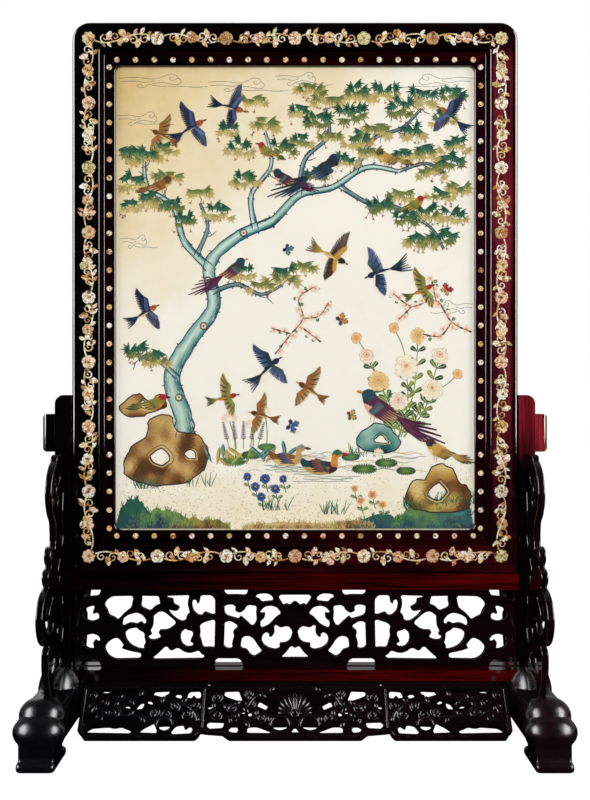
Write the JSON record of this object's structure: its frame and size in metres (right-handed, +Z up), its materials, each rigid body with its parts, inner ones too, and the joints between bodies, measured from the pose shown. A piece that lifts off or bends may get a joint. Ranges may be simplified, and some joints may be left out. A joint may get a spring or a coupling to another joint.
{
  "type": "table screen",
  "caption": "Carved dark red hardwood table screen with an embroidered silk picture panel, pearl-inlaid frame, pierced boards and shoe feet; the panel lifts out of the stand",
  "frame": {"origin": "middle of the footprint, on the surface that the feet stand on", "axes": "+Z up, +X to the right of the screen seen from the front, -Y to the front"},
  "size_m": [0.5196, 0.206, 0.7164],
  "materials": {
    "hongmu": "waxed and polished dark red hardwood",
    "ebonized": "carved, near-black polished hardwood",
    "peg_wood": "end grain of round pegs, waxed",
    "softwood": "plain planed board, sealed behind the silk",
    "stained_board": "thin stained back board",
    "silk": "cream satin silk with silk embroidery",
    "pearl": "polished mother-of-pearl with a soft play of colour",
    "brass": "dull drawn brass pins"
  },
  "bodies": {
    "stand": {"upper_rail": "hongmu", "lower_rail": "hongmu", "rail_pegs": "peg_wood", "pierced_board": "hongmu", "foot_left": "ebonized", "foot_right": "ebonized", "post_left": "hongmu", "post_right": "hongmu", "spandrel_front_left": "ebonized", "spandrel_front_right": "ebonized", "spandrel_rear_left": "ebonized", "spandrel_rear_right": "ebonized", "ear_left": "hongmu", "ear_right": "hongmu", "apron": "ebonized"},
    "panel": {"frame_top_rail": "hongmu", "frame_bottom_rail": "hongmu", "frame_stile_left": "hongmu", "frame_stile_right": "hongmu", "corner_pegs": "peg_wood", "slip_top": "hongmu", "slip_bottom": "hongmu", "slip_left": "hongmu", "slip_right": "hongmu", "pearl_dots": "pearl", "pearl_blossoms": "pearl", "silk_panel": "silk", "mounting_board": "softwood", "back_board": "stained_board", "bead_pins": "brass", "back_bead_top": "hongmu", "back_bead_bottom": "hongmu", "back_bead_left": "hongmu", "back_bead_right": "hongmu"}
  },
  "joints": [
    {"name": "panel_lift", "type": "slide", "parent": "stand", "child": "panel", "axis": [0, 0, 1], "range_m": [0, 0.185]}
  ]
}
